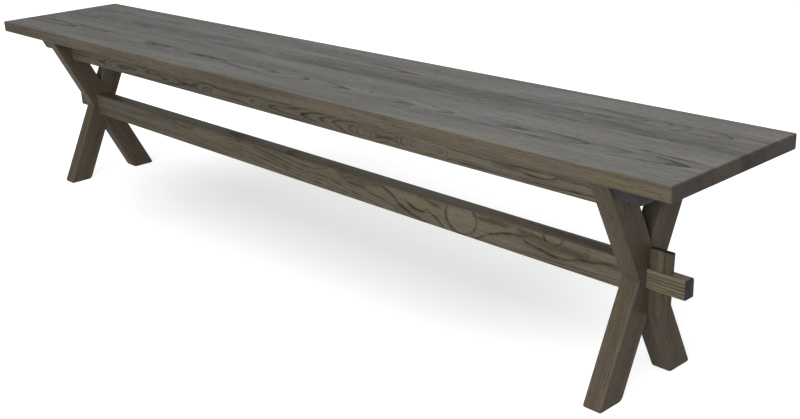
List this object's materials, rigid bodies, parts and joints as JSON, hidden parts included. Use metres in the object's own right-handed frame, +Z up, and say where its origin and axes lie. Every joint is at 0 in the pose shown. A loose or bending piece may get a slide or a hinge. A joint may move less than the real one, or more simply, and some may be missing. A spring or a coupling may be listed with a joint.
{
  "type": "wooden bench",
  "caption": "Long wooden bench on crossed-leg trestles, with rails under the seat and a stretcher whose through tenons are held by loose wedges.",
  "frame": {"origin": "on the floor under the middle of the seat", "axes": "+X along the seat, -Y towards the front long edge, +Z up"},
  "size_m": [2.2, 0.35, 0.45],
  "materials": {
    "seat_wood": "brushed grain, grey stain and oil, satin",
    "frame_wood": "brushed grain, grey-brown stain and oil, satin",
    "leg_wood": "brushed grain, grey-brown stain and oil, satin",
    "wedge_wood": "planed, grey-brown stain and oil, satin",
    "dowel_wood": "turned, bare and glued in",
    "screw_steel": "zinc plated"
  },
  "bodies": {
    "frame": {"seat_board_front": "seat_wood", "seat_board_back": "seat_wood", "front_rail": "frame_wood", "back_rail": "frame_wood", "stretcher": "frame_wood", "right_cleat": "frame_wood", "left_cleat": "frame_wood", "right_front_leg": "leg_wood", "right_back_leg": "leg_wood", "left_front_leg": "leg_wood", "left_back_leg": "leg_wood", "right_cleat_dowel_1": "dowel_wood", "right_cleat_dowel_2": "dowel_wood", "right_cleat_dowel_3": "dowel_wood", "right_cleat_dowel_4": "dowel_wood", "right_rail_dowel_1": "dowel_wood", "right_rail_dowel_2": "dowel_wood", "right_rail_dowel_3": "dowel_wood", "right_rail_dowel_4": "dowel_wood", "left_cleat_dowel_1": "dowel_wood", "left_cleat_dowel_2": "dowel_wood", "left_cleat_dowel_3": "dowel_wood", "left_cleat_dowel_4": "dowel_wood", "left_rail_dowel_1": "dowel_wood", "left_rail_dowel_2": "dowel_wood", "left_rail_dowel_3": "dowel_wood", "left_rail_dowel_4": "dowel_wood", "rail_screw_1": "screw_steel", "rail_screw_2": "screw_steel", "rail_screw_3": "screw_steel", "rail_screw_4": "screw_steel", "rail_screw_5": "screw_steel", "rail_screw_6": "screw_steel", "rail_screw_7": "screw_steel", "rail_screw_8": "screw_steel", "rail_screw_9": "screw_steel", "rail_screw_10": "screw_steel", "cleat_screw_1": "screw_steel", "cleat_screw_2": "screw_steel", "cleat_screw_3": "screw_steel", "cleat_screw_4": "screw_steel"},
    "wedge_right": {"right_wedge": "wedge_wood"},
    "wedge_left": {"left_wedge": "wedge_wood"}
  },
  "joints": [
    {"name": "right_wedge_lift", "type": "slide", "parent": "frame", "child": "wedge_right", "axis": [0, 0, 1], "range_m": [0, 0.1]},
    {"name": "left_wedge_lift", "type": "slide", "parent": "frame", "child": "wedge_left", "axis": [0, 0, 1], "range_m": [0, 0.1]}
  ]
}
